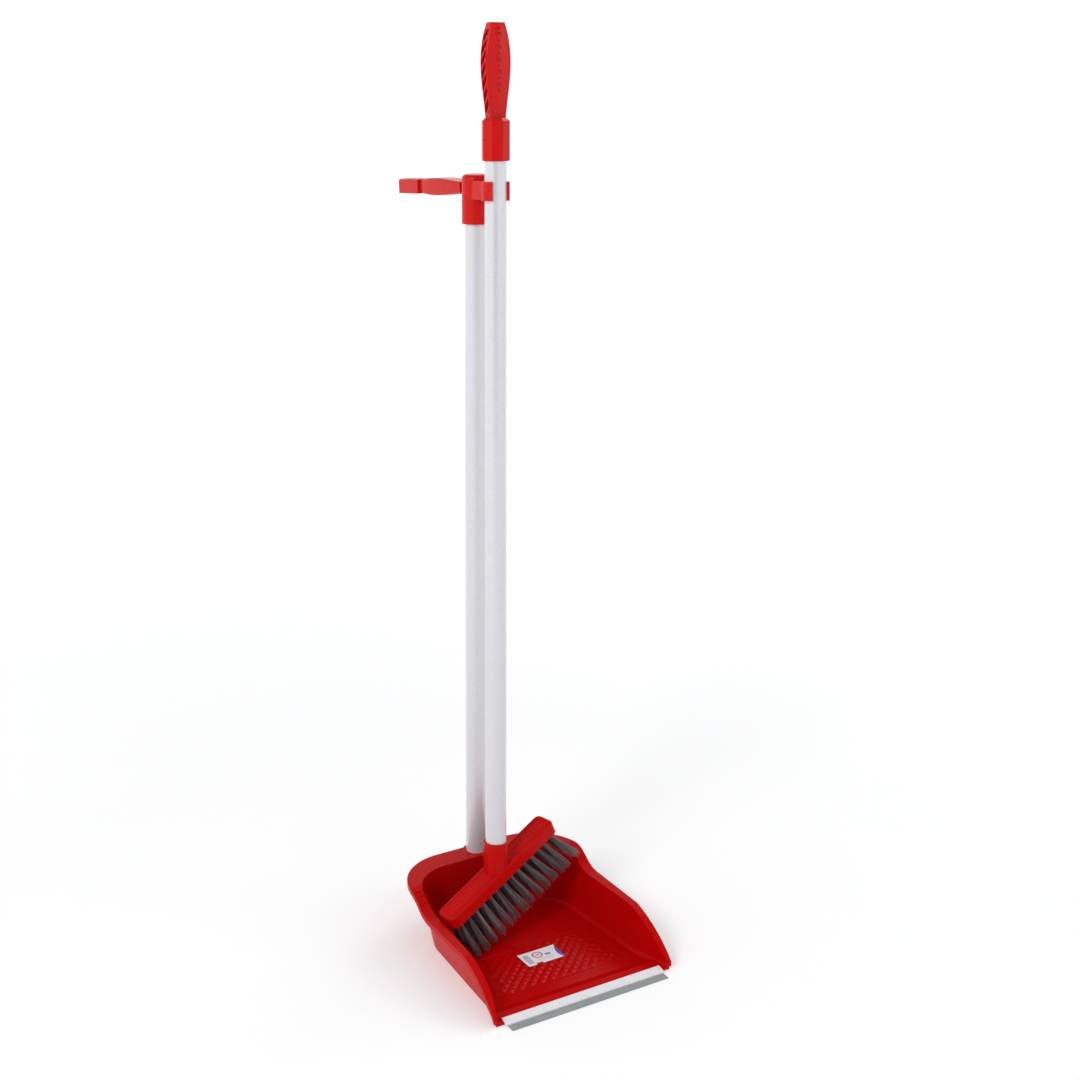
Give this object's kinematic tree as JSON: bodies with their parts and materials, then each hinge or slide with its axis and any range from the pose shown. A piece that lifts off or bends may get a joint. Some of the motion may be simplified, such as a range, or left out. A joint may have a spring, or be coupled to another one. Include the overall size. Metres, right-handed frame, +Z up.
{
  "type": "dustpan and brush set",
  "caption": "Long-handled dustpan with a soft front lip and a matching angle broom that stands in the pan, held by a spring clip on the pan's upright handle.",
  "frame": {"origin": "middle of the pan's flat underside, on the floor it stands on", "axes": "+Z up along the pan's tube, -Y towards the pan's open lip, +X to the right seen from the lip"},
  "size_m": [0.216, 0.3863, 0.9581],
  "materials": {
    "pan_red": "glossy moulded red",
    "lip_white": "satin white",
    "lip_grey": "soft grey",
    "label_paper": "coated paper",
    "tube_white": "pearl white powder coat",
    "plug_white": "plain",
    "handle_red": "satin moulded red",
    "block_red": "satin moulded red",
    "bristle_grey": "dark grey filament",
    "staple_steel": "plain wire"
  },
  "bodies": {
    "pan": {"pan_shell": "pan_red", "lip_carrier": "lip_white", "lip_blade": "lip_grey", "floor_label": "label_paper", "pan_tube": "tube_white", "pan_tube_plug": "plug_white", "handle_cap": "handle_red", "hand_grip": "handle_red", "broom_clip": "handle_red"},
    "broom": {"broom_tube": "tube_white", "thread_insert": "plug_white", "broom_grip": "handle_red"},
    "broom_head": {"broom_block": "block_red", "tuft_staples": "staple_steel", "tuft_row_1": "bristle_grey", "tuft_row_2": "bristle_grey", "tuft_row_3": "bristle_grey"}
  },
  "joints": [
    {"name": "broom_lift", "type": "slide", "parent": "pan", "child": "broom", "axis": [0.0253, 0.0492, 0.9985], "range_m": [0, 0.3]},
    {"name": "head_turn", "type": "hinge", "parent": "broom", "child": "broom_head", "pos_m": [-0.021, 0.027, 0.087], "axis": [0.0253, 0.0492, 0.9985], "range_deg": [-6, 8]}
  ]
}
